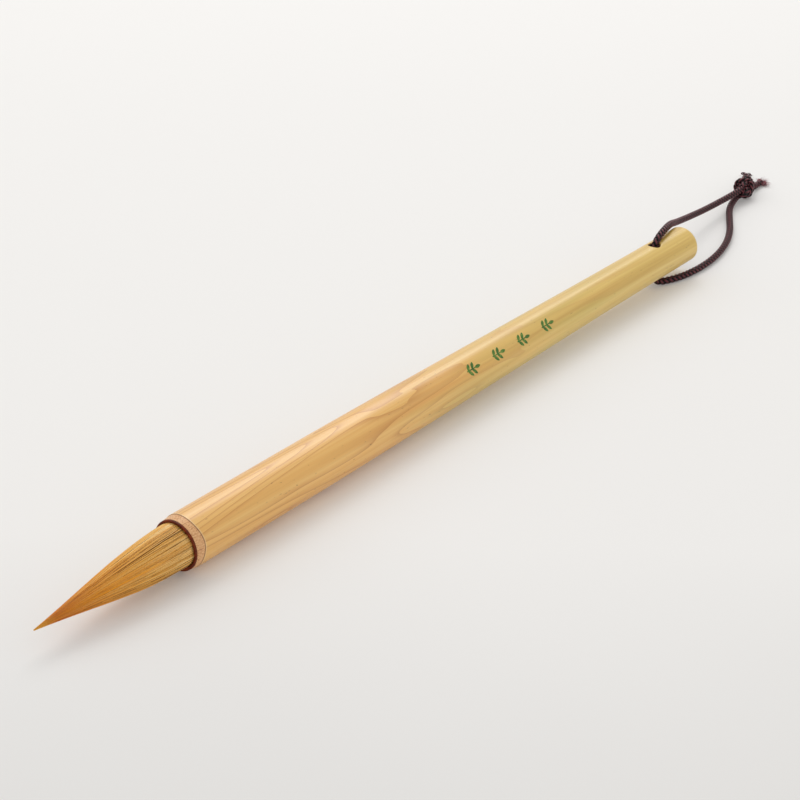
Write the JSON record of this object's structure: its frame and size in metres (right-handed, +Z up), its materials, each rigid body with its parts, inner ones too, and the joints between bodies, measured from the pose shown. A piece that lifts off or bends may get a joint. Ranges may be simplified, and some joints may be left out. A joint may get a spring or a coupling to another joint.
{
  "type": "calligraphy brush",
  "caption": "Pointed hair brush for ink, socketed and glued in a tapering bamboo tube, with a knotted cord loop through a cross hole near the tail for hanging.",
  "frame": {"origin": "on the table under the middle of the brush from its point to its tail, the cord left out", "axes": "+X from the hair's point to the tail, +Z up, +Y to the side that the cord loop lies on"},
  "size_m": [0.3125, 0.0283, 0.0149],
  "materials": {
    "bamboo": "smooth waxed bamboo skin, tan at the head and olive yellow at the tail",
    "dark_lacquer": "satin red-brown lacquer",
    "brown_lacquer": "satin brown lacquer with rings showing through",
    "pith": "matt cut pith",
    "weasel_hair": "straight glossy straw-gold hair set to a point",
    "lining_hair": "paler straight hair",
    "core_hair": "stiff straight hair",
    "thread": "waxed thread",
    "resin": "amber resin",
    "glue": "dull hardened glue",
    "green_paint": "thin matt green paint",
    "plum_cord": "fine braided cord with a soft sheen"
  },
  "bodies": {
    "brush": {"bamboo_shaft": "bamboo", "mouth_lip": "dark_lacquer", "tail_plug": "pith", "tail_lacquer": "brown_lacquer", "cover_hair": "weasel_hair", "lining_hair": "lining_hair", "core_hair": "core_hair", "root_thread": "thread", "root_resin": "resin", "socket_glue": "glue", "leaf_marks": "green_paint"},
    "hanging_loop": {"cord_leg_top": "plum_cord", "cord_leg_bottom": "plum_cord", "cord_knot": "plum_cord", "cord_tail_long": "plum_cord", "cord_tail_short": "plum_cord", "frayed_end_long": "plum_cord", "frayed_end_short": "plum_cord"}
  },
  "joints": [
    {"name": "loop_swing", "type": "hinge", "parent": "brush", "child": "hanging_loop", "pos_m": [0.10667, 0, 0.0072], "axis": [0, 0, 1], "range_deg": [0, 100]}
  ]
}
